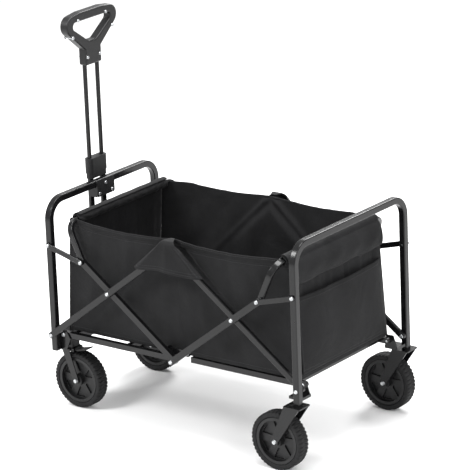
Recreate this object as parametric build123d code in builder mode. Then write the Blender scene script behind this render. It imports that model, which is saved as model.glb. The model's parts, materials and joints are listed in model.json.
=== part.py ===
from build123d import *
import os
from math import atan2, cos, degrees, hypot, radians, sin

os.makedirs("parts", exist_ok=True)

# Folding camp wagon, open and standing on its wheels, handle raised.
# +X points to the rear, +Z up; the left side is -Y when facing forwards, along -X.
# Every piece is placed from the driving dimensions below, in millimetres.

# ---- fold linkage: two scissors side by side, all half-lengths equal ----
half_base = 440.0            # from the middle to either hoop
arm_run = half_base / 2      # one half-length of a brace, measured along X
arm_rise = 165.0             # the same, measured up
pivot_z = 240.0              # height of the bottom pivots
arm_length = hypot(arm_run, arm_rise)
rest_angle = degrees(atan2(arm_rise, arm_run))
fold_angle = 80.0            # slope of the braces when folded
link_reach = 400.0           # from a bottom centre pivot to the link pivot on the rim tube
link_leg_z = 512.0           # link pivot on the hoops

# ---- wheels ----
wheel_r = 85.0
tyre_inner_r = 68.0
tyre_w = 42.0
wheel_gap = 3.0              # tyre to fork arm
wheel_web = 3.0              # left between a wheel's recesses
fork_plate = 3.0
caster_trail = 32.0
front_track = 179.0
rear_hub_back = 66.0         # rear hub, forward of its leg
hub_r = 17.0
axle_r = 4.0
spoke_count = 6

# ---- hoops and where they stand ----
tube = 20.0
tube_round = 3.0
hoop_bend = 55.0
front_leg_y = 246.0
rear_leg_y = 268.0
front_top_z = 640.0
rear_top_z = 655.0
front_foot_z = 190.0
rear_foot_z = 197.0
rear_plate_back = 22.0       # rear fork plate, behind the leg's middle
front_overhang = wheel_r - caster_trail
mid_x = (front_overhang - rear_plate_back) / 2
front_x = mid_x - half_base
rear_x = mid_x + half_base

# ---- side bars, in layers outwards ----
bar_h = 19.0
bar_t = 12.0
bar_round = 2.5
inner_layer = 244.0          # rim tube of the front, rear braces
outer_layer = 258.0          # front braces, rim tube of the rear
link_t = 5.0
link_h = 16.0
rivet_r = 3.0
rivet_head_r = 6.0
rivet_head_t = 2.5
head_taper = 25.0
layer_gap = 0.5              # air between a link and the leg it turns on
running = 0.05               # radial clearance of a turning rivet or axle
open_pivot = 0.5             # radial clearance where the linkage is left open

# ---- rim tubes ----
rim_in = 70.0                # rim crossbars, inboard of the hoops
rim_z = 590.0
rim_bend = 40.0
sleeve_r = 15.0
sleeve_gap = 1.5             # tube to sleeve, where the cloth hangs loose
sleeve_end_gap = 2.0

# ---- front lower frame ----
crossbar_d = 25.0
crossbar_h = 30.0
crossbar_z = front_foot_z + crossbar_h / 2
gusset_t = 3.0
leg_inner_y = front_leg_y - tube / 2
housing_w = 38.0
housing_top = 245.0
housing_bottom = 183.0
stem_r = 6.0
cap_r = 13.0
cap_t = 5.0

# ---- floor frames ----
rail = 16.0
rail_z = 236.0
rail_pivot_in = 20.0         # rail pivots, inboard of the hoops
front_rail_y = 224.0
rear_rail_y = 206.0
front_inner_rail_y = 73.0
rear_inner_rail_y = 93.0
hinge_half = 36.0            # from the middle to a floor hinge pin
hinge_z = 262.0
lug_t = 6.0
lug_r = 9.0
plate_t = 3.0
rail_tip = 30.0              # rail ends, from the middle
tie_in = 190.0               # inner tie bars, from the middle
tie_out = 36.0               # outer tie bars, inboard of the rail pivots

# ---- handle ----
handle_x = front_x - 20.0
handle_half = 28.0           # half the spacing of the two tubes
lower_tube_r = 9.0
upper_tube_r = 6.5
slide_gap = 0.1
lower_tube_top = 705.0
collar_top = 713.0
collar_step = 668.0
collar_bottom = 652.0
upper_tube_bottom = 640.0
grip_bottom = 994.0
grip_neck = grip_bottom + 63
grip_t = 28.0
handle_pivot_z = 238.0
block_half = 37.0
clip_half = 40.0

# ---- fabric ----
cloth = 3.0
panel_top_in = 52.0          # end panels at the rim, inboard of the hoops
panel_foot_in = 28.0         # end panels at the floor
panel_half = 226.0
panel_foot_z = 256.0
side_top_y = 237.0
side_foot_y = 214.0
side_top_z = 597.0
floor_z = 250.0
floor_t = 2.0
floor_half = 209.0
pocket_depth = 16.0
pocket_top_z = 485.0
pocket_foot_z = 262.0
pocket_half = 205.0
flap_y = 274.5


def lay(run, rise):
    """A point of the side linkage, from its run along X off the middle and its height."""
    return (mid_x + run, pivot_z + rise)


front_foot = lay(-half_base, 0)
front_cross = lay(-arm_run, arm_rise)
centre_foot = lay(0, 0)
centre_top = lay(0, 2 * arm_rise)
rear_cross = lay(arm_run, arm_rise)
rear_foot = lay(half_base, 0)
link_run = link_reach * cos(radians(rest_angle))
link_rise = link_reach * sin(radians(rest_angle))
front_link_end = lay(-link_run, link_rise)
rear_link_end = lay(link_run, link_rise)
front_rim = (front_x + rim_in, rim_z)
rear_rim = (rear_x - rim_in, rim_z)
front_link_leg = (front_x, link_leg_z)
rear_link_leg = (rear_x, link_leg_z)
front_rail_pivot = (front_x + rail_pivot_in, rail_z)
rear_rail_pivot = (rear_x - rail_pivot_in, rail_z)
front_hub = (front_x + caster_trail, wheel_r)
rear_hub = (rear_x - rear_hub_back, wheel_r)
sides = (("left", -1), ("right", 1))


def save(part, name):
    """Label a finished piece and write it."""
    part.label = name
    export_step(part, f"parts/{name}.step")


def side_plane(y, side, x=0.0, z=0.0, along=(1, 0, 0)):
    """A plane facing outwards on one side of the wagon, at distance y from the middle."""
    return Plane(origin=(x, side * y, z), x_dir=along, z_dir=(0, side, 0))


def on_side(points, side):
    """Points of the XZ plane as local points of a side plane."""
    return [(x, z * -side) for x, z in points]


def pivot_bar(start, end, y, side, height, thickness, start_hole, end_hole, middle_hole=0.0):
    """A bar with round ends between two pivots, drilled at the pivots."""
    run, rise = end[0] - start[0], end[1] - start[1]
    length = hypot(run, rise)
    middle = ((start[0] + end[0]) / 2, (start[1] + end[1]) / 2)
    plane = side_plane(y, side, middle[0], middle[1], (run, 0, rise))
    with BuildPart() as bar:
        with BuildSketch(plane):
            SlotCenterToCenter(length, height)
        extrude(amount=thickness)
        fillet(bar.faces().filter_by(Axis.Y).edges(), min(bar_round, thickness / 3))
        with BuildSketch(plane):
            with Locations((-length / 2, 0)):
                Circle(start_hole)
            with Locations((length / 2, 0)):
                Circle(end_hole)
            if middle_hole:
                Circle(middle_hole)
        extrude(amount=thickness, mode=Mode.SUBTRACT)
    return bar.part


def pin_solid(points, from_y, to_y, heads=(True, True)):
    """Rivets along Y at the given pivots, on both sides; heads tells which end has one, inside or outside."""
    with BuildPart() as pins:
        for side in (-1, 1):
            for x, z in points:
                with BuildSketch(side_plane(from_y, side, x, z)):
                    Circle(rivet_r)
                extrude(amount=to_y - from_y)
                if heads[1]:
                    with BuildSketch(side_plane(to_y, side, x, z)):
                        Circle(rivet_head_r)
                    extrude(amount=rivet_head_t, taper=head_taper)
                if heads[0]:
                    with BuildSketch(side_plane(from_y, side, x, z)):
                        Circle(rivet_head_r)
                    extrude(amount=-rivet_head_t, taper=head_taper)
    return pins.part


def hoop(x, leg_y, top_z, foot_z, drill):
    """A square tube bent into an upside-down U, its legs drilled along Y."""
    with BuildPart() as bent:
        with BuildLine() as path:
            FilletPolyline(
                (x, -leg_y, foot_z), (x, -leg_y, top_z), (x, leg_y, top_z), (x, leg_y, foot_z),
                radius=hoop_bend,
            )
        with BuildSketch(Plane(origin=(x, -leg_y, foot_z), x_dir=(1, 0, 0), z_dir=(0, 0, 1))):
            RectangleRounded(tube, tube, tube_round)
        sweep(path=path.line)
        for height, radius in drill:
            with Locations(Plane(origin=(x, 0, height), z_dir=(0, 1, 0))):
                Cylinder(radius, 2 * leg_y + 2 * tube, mode=Mode.SUBTRACT)
    return bent.part


def rim_tube(layer, foot, knee, rim, foot_hole, cross, cross_hole):
    """A U-shaped rim tube: two side bars from the bottom centre pivot up to a knee, and a hoop above it."""
    y = layer + bar_t / 2
    slope = (rim[0] - knee[0], 0, rim[1] - knee[1])
    with BuildPart() as tube_part:
        with BuildLine() as path:
            FilletPolyline(
                (knee[0], -y, knee[1]), (rim[0], -y, rim[1]), (rim[0], y, rim[1]), (knee[0], y, knee[1]),
                radius=rim_bend,
            )
        with BuildSketch(Plane(origin=(knee[0], -y, knee[1]), x_dir=(0, 1, 0), z_dir=slope)):
            RectangleRounded(bar_t, bar_h - 1, bar_round)
        sweep(path=path.line)
        for side in (-1, 1):
            run, rise = knee[0] - foot[0], knee[1] - foot[1]
            length = hypot(run, rise)
            middle = ((foot[0] + knee[0]) / 2, (foot[1] + knee[1]) / 2)
            plane = side_plane(layer, side, middle[0], middle[1], (run, 0, rise))
            with BuildSketch(plane):
                SlotCenterToCenter(length, bar_h)
            extrude(amount=bar_t)
            for (px, pz), hole in ((foot, foot_hole), (cross, cross_hole)):
                with BuildSketch(side_plane(layer, side, px, pz)):
                    Circle(hole)
                extrude(amount=bar_t, mode=Mode.SUBTRACT)
    return tube_part.part


def rim_sleeve(rim, layer):
    """The sewn tube of cloth around the straight part of a rim crossbar."""
    half = layer + bar_t / 2 - rim_bend - sleeve_end_gap
    with BuildPart() as sleeve:
        with BuildSketch(Plane(origin=(rim[0], -half, rim[1]), z_dir=(0, 1, 0))):
            Circle(sleeve_r)
            Circle(bar_h / 2 + sleeve_gap, mode=Mode.SUBTRACT)
        extrude(amount=2 * half)
    return sleeve.part


def tyre(hub, y):
    """A tyre with rounded shoulders."""
    with BuildPart() as ring:
        with BuildSketch(Plane(origin=(hub[0], y, hub[1]), x_dir=(1, 0, 0), z_dir=(0, 0, 1))):
            with Locations(((wheel_r + tyre_inner_r) / 2, 0)):
                RectangleRounded(wheel_r - tyre_inner_r, tyre_w, 5)
        revolve(axis=Axis((hub[0], y, hub[1]), (0, 1, 0)))
    return ring.part


def rim(hub, y):
    """A moulded wheel disc: a ring, a hub and six spokes, with wedge recesses in both faces of a thin web."""
    wedge = 360 / spoke_count
    ring_in = tyre_inner_r - 9
    with BuildPart() as disc:
        with BuildSketch(Plane(origin=(hub[0], y, hub[1]), x_dir=(1, 0, 0), z_dir=(0, 0, 1))):
            with Locations(((tyre_inner_r + ring_in) / 2, 0)):
                Rectangle(tyre_inner_r - ring_in, tyre_w - 6)
            with Locations(((hub_r + ring_in) / 2, 0)):
                Rectangle(ring_in - hub_r + 1, 12)
            with Locations(((hub_r + axle_r + running) / 2, 0)):
                Rectangle(hub_r - axle_r - running, tyre_w)
        revolve(axis=Axis((hub[0], y, hub[1]), (0, 1, 0)))
        for from_y in (y - tyre_w / 2, y + wheel_web / 2):
            with BuildSketch(Plane(origin=(hub[0], from_y, hub[1]), x_dir=(1, 0, 0), z_dir=(0, 1, 0))) as cut:
                with PolarLocations(0, spoke_count, start_angle=wedge / 2):
                    Polygon((24, -3), (24, 3), (54, 17), (54, -17), align=None)
                fillet(cut.vertices(), 2.5)
            extrude(amount=(tyre_w - wheel_web) / 2, mode=Mode.SUBTRACT)
    return disc.part


def fork(hub, y, crown_from, crown_to, crown_z, crown_t, eye_r):
    """A wheel fork: a flat crown and two arms that taper down to the axle."""
    half = tyre_w / 2 + wheel_gap
    with BuildPart() as yoke:
        with BuildSketch(Plane.XY.offset(crown_z)):
            with Locations(((crown_from + crown_to) / 2, y)):
                RectangleRounded(crown_to - crown_from, 2 * (half + fork_plate), 4)
        extrude(amount=crown_t)
        for arm_y in (y - half - fork_plate, y + half):
            with BuildSketch(Plane(origin=(0, arm_y + fork_plate, 0), x_dir=(1, 0, 0), z_dir=(0, -1, 0))):
                with BuildLine():
                    Polyline(
                        (crown_from + 2, crown_z + crown_t / 2), (crown_to - 2, crown_z + crown_t / 2),
                        (hub[0] + eye_r, hub[1] + 2), (hub[0] - eye_r, hub[1] + 2), close=True,
                    )
                make_face()
                with Locations(hub):
                    Circle(eye_r)
                with Locations(hub):
                    Circle(axle_r, mode=Mode.SUBTRACT)
            extrude(amount=fork_plate)
    return yoke.part


def axle(hub, y):
    """A wheel bolt with a domed head outside and a nut inside."""
    half = tyre_w / 2 + wheel_gap + fork_plate
    with BuildPart() as bolt:
        with BuildSketch(Plane(origin=(hub[0], y - half, hub[1]), z_dir=(0, 1, 0))):
            Circle(axle_r)
        extrude(amount=2 * half)
        for face_y, way in ((y - half, -1), (y + half, 1)):
            with BuildSketch(Plane(origin=(hub[0], face_y, hub[1]), z_dir=(0, way, 0))):
                Circle(7)
            extrude(amount=4, taper=20)
    return bolt.part


def floor_frame(pivot, side_y, inner_y, way):
    """A half floor frame: four rails welded to two cross ties; way is +1 where the rails run towards +X."""
    tip = mid_x - way * rail_tip
    outer_tie = pivot[0] + way * tie_out
    inner_tie = mid_x - way * tie_in
    inner_start = outer_tie - way * rail / 2
    with BuildPart() as frame:
        with Locations(*[((pivot[0] + tip) / 2, side * side_y, rail_z) for side in (-1, 1)]):
            Box(abs(tip - pivot[0]), rail, rail)
        for side in (-1, 1):
            with Locations(Plane(origin=(pivot[0], side * side_y, rail_z), z_dir=(0, 1, 0))):
                Cylinder(rail / 2, rail)
                Cylinder(rivet_r + running, rail, mode=Mode.SUBTRACT)
        with Locations(*[((inner_start + tip) / 2, side * inner_y, rail_z) for side in (-1, 1)]):
            Box(abs(tip - inner_start), rail, rail)
        with Locations((outer_tie, 0, rail_z), (inner_tie, 0, rail_z)):
            Box(rail, 2 * side_y, rail)
    return frame.part


# ================= front frame =================
front_hoop = hoop(front_x, front_leg_y, front_top_z, front_foot_z,
                  ((pivot_z, rivet_r), (link_leg_z, rivet_r)))
save(front_hoop, "front_hoop")

with BuildPart() as front_lower_crossbar:
    with BuildSketch(Plane.XZ.offset(-(leg_inner_y - gusset_t))):
        with Locations((front_x, crossbar_z)):
            RectangleRounded(crossbar_d, crossbar_h, tube_round)
    extrude(amount=2 * (leg_inner_y - gusset_t))
    with Locations(*[(front_x, side * front_track, crossbar_z) for side in (-1, 1)]):
        Cylinder(stem_r + running, crossbar_h, mode=Mode.SUBTRACT)
save(front_lower_crossbar.part, "front_lower_crossbar")

with BuildPart() as front_gussets:
    for _, side in sides:
        with BuildSketch(side_plane(leg_inner_y - gusset_t, side, front_x, 0)) as plate:
            with BuildLine():
                Polyline(
                    *on_side(((-9, front_foot_z), (30, front_foot_z), (46, 226), (30, 252), (-9, 252)), side),
                    close=True,
                )
            make_face()
            fillet(plate.vertices(), 4)
        extrude(amount=gusset_t)
        for hole_x, hole_z in (front_foot, front_rail_pivot):
            with Locations(Plane(origin=(hole_x, side * leg_inner_y, hole_z), z_dir=(0, 1, 0))):
                Cylinder(rivet_r, 4 * gusset_t, mode=Mode.SUBTRACT)
save(front_gussets.part, "front_gussets")

with BuildPart() as caster_housings:
    for _, side in sides:
        with BuildSketch(Plane.XY.offset(housing_bottom)):
            with Locations((front_x, side * front_track)):
                RectangleRounded(housing_w, housing_w, 6)
        extrude(amount=housing_top - housing_bottom)
        with Locations((front_x, side * front_track, crossbar_z)):
            Box(crossbar_d, housing_w, crossbar_h, mode=Mode.SUBTRACT)
        with Locations((front_x, side * front_track, (housing_bottom + housing_top) / 2)):
            Cylinder(stem_r + running, housing_top - housing_bottom, mode=Mode.SUBTRACT)
        with BuildSketch(Plane.XY.offset(housing_top)):
            with Locations((front_x, side * front_track)):
                Circle(cap_r)
        extrude(amount=cap_t)
    fillet(caster_housings.edges().group_by(Axis.Z)[-1], cap_t / 2)
save(caster_housings.part, "caster_housings")

pair_outer = outer_layer + bar_t
link_outer = outer_layer - layer_gap + link_t
with BuildPart() as front_frame_rivets:
    add(pin_solid((front_foot,), leg_inner_y - gusset_t, pair_outer, (False, True)))
    add(pin_solid((front_link_leg,), leg_inner_y, link_outer, (False, True)))
    add(pin_solid((front_rail_pivot,), front_rail_y - rail / 2, leg_inner_y, (False, True)))
save(front_frame_rivets.part, "front_frame_rivets")

# ---- handle clip on the hoop ----
clip_low = 600.0
clip_high = 650.0
clip_plate = 4.0
jaw_top = 628.0
with BuildPart() as handle_clip:
    with BuildSketch(Plane.YZ.offset(front_x + tube / 2)):
        with Locations((0, (clip_low + clip_high) / 2)):
            RectangleRounded(2 * clip_half, clip_high - clip_low, 5)
    extrude(amount=clip_plate)
    with Locations(((handle_x + front_x + tube / 2) / 2, 0, (clip_low + jaw_top) / 2)):
        Box(front_x + tube / 2 - handle_x, 2 * clip_half, jaw_top - clip_low)
    with Locations(*[(handle_x, side * handle_half, (clip_low + jaw_top) / 2) for side in (-1, 1)]):
        Cylinder(lower_tube_r + 0.4, jaw_top - clip_low, mode=Mode.SUBTRACT)
save(handle_clip.part, "handle_clip")

clip_bolt_places = ((0, 636), (-29, 609), (29, 609))
with BuildPart() as clip_bolts:
    for bolt_y, bolt_z in clip_bolt_places:
        with BuildSketch(Plane(origin=(front_x + tube / 2 + clip_plate, bolt_y, bolt_z), z_dir=(1, 0, 0))):
            Circle(5.5)
        extrude(amount=3, taper=20)
save(clip_bolts.part, "clip_bolts")

# ---- handle bracket on the lower crossbar ----
bracket_t = 3.0
bracket_inner = block_half + 1.5
bracket_base_z = front_foot_z + crossbar_h
with BuildPart() as handle_bracket:
    with Locations(((handle_x - 11 + front_x + crossbar_d / 2) / 2, 0, bracket_base_z + bracket_t / 2)):
        Box(front_x + crossbar_d / 2 - handle_x + 11, 2 * (bracket_inner + bracket_t), bracket_t)
    for _, side in sides:
        with BuildSketch(side_plane(bracket_inner, side, handle_x, 0)) as ear:
            with Locations((0, -side * handle_pivot_z)):
                Circle(11)
            with Locations((0, -side * (bracket_base_z + handle_pivot_z) / 2)):
                Rectangle(22, handle_pivot_z - bracket_base_z)
            with Locations((0, -side * handle_pivot_z)):
                Circle(4, mode=Mode.SUBTRACT)
        extrude(amount=bracket_t)
save(handle_bracket.part, "handle_bracket")

with BuildPart() as handle_pivot_bolt:
    bolt_half = bracket_inner + bracket_t
    with BuildSketch(Plane(origin=(handle_x, -bolt_half, handle_pivot_z), z_dir=(0, 1, 0))):
        Circle(4)
    extrude(amount=2 * bolt_half)
    for way in (-1, 1):
        with BuildSketch(Plane(origin=(handle_x, way * bolt_half, handle_pivot_z), z_dir=(0, way, 0))):
            Circle(7)
        extrude(amount=4, taper=20)
save(handle_pivot_bolt.part, "handle_pivot_bolt")

# ---- tow eye under the crossbar ----
eye_r = 8.0
eye_outer_r = 13.0
eye_t = 5.0
eye_z = front_foot_z - 14
with BuildPart() as tow_eye:
    with BuildSketch(Plane(origin=(front_x - eye_t / 2, 0, eye_z), x_dir=(0, 1, 0), z_dir=(1, 0, 0))):
        Circle(eye_outer_r)
        Circle(eye_r, mode=Mode.SUBTRACT)
    extrude(amount=eye_t)
    with Locations((front_x, 0, front_foot_z - 1)):
        Cylinder(8, 2)
    with Locations((front_x, 0, eye_z)):
        Cylinder(eye_r, 3 * eye_t, rotation=(0, 90, 0), mode=Mode.SUBTRACT)
save(tow_eye.part, "tow_eye")

# ================= side linkage =================
leg_out = rear_leg_y + tube / 2


def both_sides(one_side):
    """The same bar on the left and on the right of the wagon, as two separate solids."""
    with BuildPart() as bars:
        for _, side in sides:
            add(one_side(side))
    return bars.part


save(both_sides(lambda side: pivot_bar(front_foot, centre_top, outer_layer, side, bar_h, bar_t,
                                       rivet_r + running, rivet_r, rivet_r)), "front_braces")
save(both_sides(lambda side: pivot_bar(centre_top, rear_foot, inner_layer, side, bar_h, bar_t,
                                       rivet_r + open_pivot, rivet_r + running, rivet_r + running)), "rear_braces")
save(both_sides(lambda side: pivot_bar(front_link_leg, front_link_end, outer_layer - layer_gap, side, link_h, link_t,
                                       rivet_r + running, rivet_r)), "front_links")
save(both_sides(lambda side: pivot_bar(rear_link_leg, rear_link_end, leg_out + layer_gap, side,
                                       link_h, link_t, rivet_r + running, rivet_r)), "rear_links")

front_rim_tube = rim_tube(inner_layer, centre_foot, front_link_end, front_rim,
                          rivet_r + running, front_cross, rivet_r + running)
save(front_rim_tube, "front_rim_tube")
rear_rim_tube = rim_tube(outer_layer, centre_foot, rear_link_end, rear_rim, rivet_r, rear_cross, rivet_r)
save(rear_rim_tube, "rear_rim_tube")
save(rim_sleeve(front_rim, inner_layer), "front_rim_sleeve")
save(rim_sleeve(rear_rim, outer_layer), "rear_rim_sleeve")

save(pin_solid((front_cross, centre_top), inner_layer, pair_outer), "front_brace_rivets")
save(pin_solid((centre_foot, rear_cross), inner_layer, pair_outer), "rim_tube_rivets")
save(pin_solid((front_link_end,), outer_layer - layer_gap, link_outer, (False, True)), "front_link_rivets")
with BuildPart() as rear_link_rivets:
    link_inner = leg_out + layer_gap
    for _, side in sides:
        with BuildSketch(side_plane(pair_outer + open_pivot, side, *rear_link_end)):
            Circle(7)
        extrude(amount=link_inner - pair_outer - open_pivot)
        with BuildSketch(side_plane(link_inner, side, *rear_link_end)):
            Circle(rivet_r)
        extrude(amount=link_t)
        with BuildSketch(side_plane(link_inner + link_t, side, *rear_link_end)):
            Circle(rivet_head_r)
        extrude(amount=rivet_head_t, taper=head_taper)
save(rear_link_rivets.part, "rear_link_rivets")

# ================= rear frame =================
rear_hoop = hoop(rear_x, rear_leg_y, rear_top_z, rear_foot_z, ((pivot_z, rivet_r), (link_leg_z, rivet_r)))
save(rear_hoop, "rear_hoop")
bracket_y = rear_rail_y + rail / 2 + 0.5
foot_z = 208.0
with BuildPart() as rear_rail_brackets:
    for _, side in sides:
        arm_from, arm_to = bracket_y, rear_leg_y - tube / 2
        with Locations((rear_x - 16, side * (arm_from + arm_to) / 2, foot_z + 4)):
            Box(44, arm_to - arm_from, 8)
        with BuildSketch(side_plane(bracket_y, side, 0, 0)):
            with BuildLine():
                Polyline(
                    *on_side(((rear_x - 38, foot_z), (rear_x + 6, foot_z), (rear_x - 8, 250), (rear_x - 32, 250)),
                             side),
                    close=True,
                )
            make_face()
        extrude(amount=gusset_t)
        with Locations(Plane(origin=(rear_rail_pivot[0], side * bracket_y, rear_rail_pivot[1]), z_dir=(0, 1, 0))):
            Cylinder(rivet_r, 4 * gusset_t, mode=Mode.SUBTRACT)
save(rear_rail_brackets.part, "rear_rail_brackets")
with BuildPart() as rear_frame_rivets:
    add(pin_solid((rear_foot,), inner_layer, leg_out))
    add(pin_solid((rear_link_leg,), leg_out - tube, leg_out + layer_gap + link_t, (False, True)))
    add(pin_solid((rear_rail_pivot,), rear_rail_y - rail / 2, bracket_y + gusset_t, (False, True)))
save(rear_frame_rivets.part, "rear_frame_rivets")

# ================= floor frames =================
front_hinge_pin = (mid_x - hinge_half, hinge_z)
rear_hinge_pin = (mid_x + hinge_half, hinge_z)
lug_foot = rail_z + rail / 2
with BuildPart() as front_floor_frame:
    add(floor_frame(front_rail_pivot, front_rail_y, front_inner_rail_y, 1))
    for _, side in sides:
        with BuildSketch(side_plane(front_rail_y - lug_t / 2, side, front_hinge_pin[0], 0)):
            with Locations((0, -side * hinge_z)):
                Circle(lug_r)
            with Locations((0, -side * (lug_foot + hinge_z) / 2)):
                Rectangle(1.4 * lug_r, hinge_z - lug_foot)
            with Locations((0, -side * hinge_z)):
                Circle(rivet_r + running, mode=Mode.SUBTRACT)
        extrude(amount=lug_t)
save(front_floor_frame.part, "front_floor_frame")
save(floor_frame(rear_rail_pivot, rear_rail_y, rear_inner_rail_y, -1), "rear_floor_frame")

plate_y = front_rail_y + rail / 2 + 0.3
with BuildPart() as floor_hinge_plates:
    for _, side in sides:
        with BuildSketch(side_plane(plate_y, side, mid_x, hinge_z)):
            SlotCenterToCenter(2 * hinge_half, 2 * lug_r)
            with Locations((-hinge_half, 0), (hinge_half, 0)):
                Circle(rivet_r, mode=Mode.SUBTRACT)
        extrude(amount=plate_t)
save(floor_hinge_plates.part, "floor_hinge_plates")
with BuildPart() as floor_hinge_pins:
    for _, side in sides:
        for (pin_x, pin_z), inner_y in ((front_hinge_pin, front_rail_y - lug_t / 2), (rear_hinge_pin, plate_y)):
            with BuildSketch(side_plane(inner_y, side, pin_x, pin_z)):
                Circle(rivet_r)
            extrude(amount=plate_y + plate_t - inner_y)
            with BuildSketch(side_plane(plate_y + plate_t, side, pin_x, pin_z)):
                Circle(5)
            extrude(amount=2, taper=25)
save(floor_hinge_pins.part, "floor_hinge_pins")

with BuildPart() as pull_strap:
    with BuildSketch(Plane.XY.offset(floor_z + floor_t + 0.4)):
        with Locations((mid_x, 0)):
            RectangleRounded(90, 26, 6)
    extrude(amount=3)
save(pull_strap.part, "pull_strap")

# ================= wheels, casters, brakes =================
crown_z = wheel_r * 2 + 4
crown_t = 6.0
rear_crown_t = 4.0
stem_top = housing_top - 0.5
brake_pivot = (front_x + 21, crown_z + 2.5)
brake_lug_y = 19.0           # pedal lugs, either side of the wheel's middle
brake_lug_t = 4.0
brake_half = 14.0
brake_pin_r = 2.0
for name, side in sides:
    y = side * front_track
    save(tyre(front_hub, y), f"front_tyre_{name}")
    save(rim(front_hub, y), f"front_rim_{name}")
    save(axle(front_hub, y), f"front_axle_{name}")
    with BuildPart() as front_fork:
        add(fork(front_hub, y, front_x - 16, front_x + 14, crown_z, crown_t, 10))
        with Locations((front_x, y, (crown_z + stem_top) / 2)):
            Cylinder(stem_r, stem_top - crown_z)
        for lug_y in (y - brake_lug_y, y + brake_lug_y):
            with Locations((front_x + 18, lug_y, brake_pivot[1])):
                Box(14, brake_lug_t, 9)
            with Locations(Plane(origin=(brake_pivot[0], lug_y, brake_pivot[1]), z_dir=(0, 1, 0))):
                Cylinder(brake_pin_r + running, brake_lug_t, mode=Mode.SUBTRACT)
    save(front_fork.part, f"front_fork_{name}")

    with BuildPart() as brake_pedal:
        with BuildSketch(Plane(origin=(brake_pivot[0], y - brake_half, brake_pivot[1]), x_dir=(1, 0, 0),
                               z_dir=(0, -1, 0))):
            with BuildLine():
                Polyline(
                    (-4, -2), (8, -2), (9, -2.9), (15, -2.9), (17, -1.5), (44, 5), (50, 8), (48, 11.5),
                    (42, 9), (16, 2.5), (-4, 2.5), close=True,
                )
            make_face()
        extrude(amount=-2 * brake_half)
        with Locations(Plane(origin=(brake_pivot[0], y, brake_pivot[1]), z_dir=(0, 1, 0))):
            Cylinder(brake_pin_r, 2 * brake_lug_y + brake_lug_t)
    save(brake_pedal.part, f"brake_pedal_{name}")

    y = side * rear_leg_y
    save(tyre(rear_hub, y), f"rear_tyre_{name}")
    save(rim(rear_hub, y), f"rear_rim_{name}")

with BuildPart() as rear_forks:
    for _, side in sides:
        add(fork(rear_hub, side * rear_leg_y, rear_x - 34, rear_x + rear_plate_back,
                 rear_foot_z - rear_crown_t, rear_crown_t, 12))
save(rear_forks.part, "rear_forks")
with BuildPart() as rear_axles:
    for _, side in sides:
        add(axle(rear_hub, side * rear_leg_y))
save(rear_axles.part, "rear_axles")

# ================= handle =================
def handle_tubes(outer_r, inner_r, low, high):
    """The two parallel tubes of one handle stage."""
    with BuildPart() as stage:
        for _, side in sides:
            with BuildSketch(Plane.XY.offset(low)):
                with Locations((handle_x, side * handle_half)):
                    Circle(outer_r)
                    if inner_r:
                        Circle(inner_r, mode=Mode.SUBTRACT)
            extrude(amount=high - low)
    return stage.part


lower_tube_foot = 252.0
neck_screw_z = grip_bottom + 24
grip_screw_r = 2.5
save(handle_tubes(lower_tube_r, upper_tube_r + slide_gap, lower_tube_foot, lower_tube_top), "handle_lower_tubes")
with BuildPart() as handle_upper_tubes:
    add(handle_tubes(upper_tube_r, 0, upper_tube_bottom, grip_neck))
    for _, side in sides:
        with Locations(Plane(origin=(handle_x, side * handle_half, neck_screw_z), z_dir=(1, 0, 0))):
            Cylinder(grip_screw_r, 4 * upper_tube_r, mode=Mode.SUBTRACT)
save(handle_upper_tubes.part, "handle_upper_tubes")

with BuildPart() as handle_base_block:
    with BuildSketch(Plane(origin=(handle_x, -block_half, 0), x_dir=(1, 0, 0), z_dir=(0, -1, 0))):
        with Locations((0, handle_pivot_z)):
            Circle(11)
        with Locations((0, (handle_pivot_z + 286) / 2)):
            Rectangle(22, 286 - handle_pivot_z)
    extrude(amount=-2 * block_half)
    with Locations(Plane(origin=(handle_x, 0, handle_pivot_z), z_dir=(0, 1, 0))):
        Cylinder(4 + running, 2 * block_half + 1, mode=Mode.SUBTRACT)
    with Locations(*[(handle_x, side * handle_half, (lower_tube_foot + 286) / 2) for side in (-1, 1)]):
        Cylinder(lower_tube_r, 286 - lower_tube_foot, mode=Mode.SUBTRACT)
save(handle_base_block.part, "handle_base_block")

with BuildPart() as handle_collar:
    with BuildSketch(Plane.XY.offset(collar_step)):
        with Locations((handle_x, 0)):
            SlotCenterToCenter(2 * handle_half, 27, rotation=90)
    extrude(amount=collar_top - collar_step)
    with BuildSketch(Plane.XY.offset(collar_bottom)):
        with Locations((handle_x, 0)):
            SlotCenterToCenter(2 * handle_half, 23, rotation=90)
    extrude(amount=collar_step - collar_bottom)
    for _, side in sides:
        with Locations((handle_x, side * handle_half, (collar_bottom + collar_top) / 2)):
            Cylinder(upper_tube_r + slide_gap, collar_top - collar_bottom, mode=Mode.SUBTRACT)
        with Locations((handle_x, side * handle_half, (collar_bottom + lower_tube_top) / 2)):
            Cylinder(lower_tube_r, lower_tube_top - collar_bottom, mode=Mode.SUBTRACT)
save(handle_collar.part, "handle_collar")

grip_screw_places = ((63, grip_bottom + 141), (90, grip_bottom + 95), (handle_half, neck_screw_z))


def rounded_hull(circles):
    """The convex outline round pairs of circles, each given as y, height in the grip and radius."""
    with BuildSketch(mode=Mode.PRIVATE) as hull:
        for y, height, radius in circles:
            with Locations((y, grip_bottom + height), (-y, grip_bottom + height)):
                Circle(radius)
        make_hull()
    return hull.sketch


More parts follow.
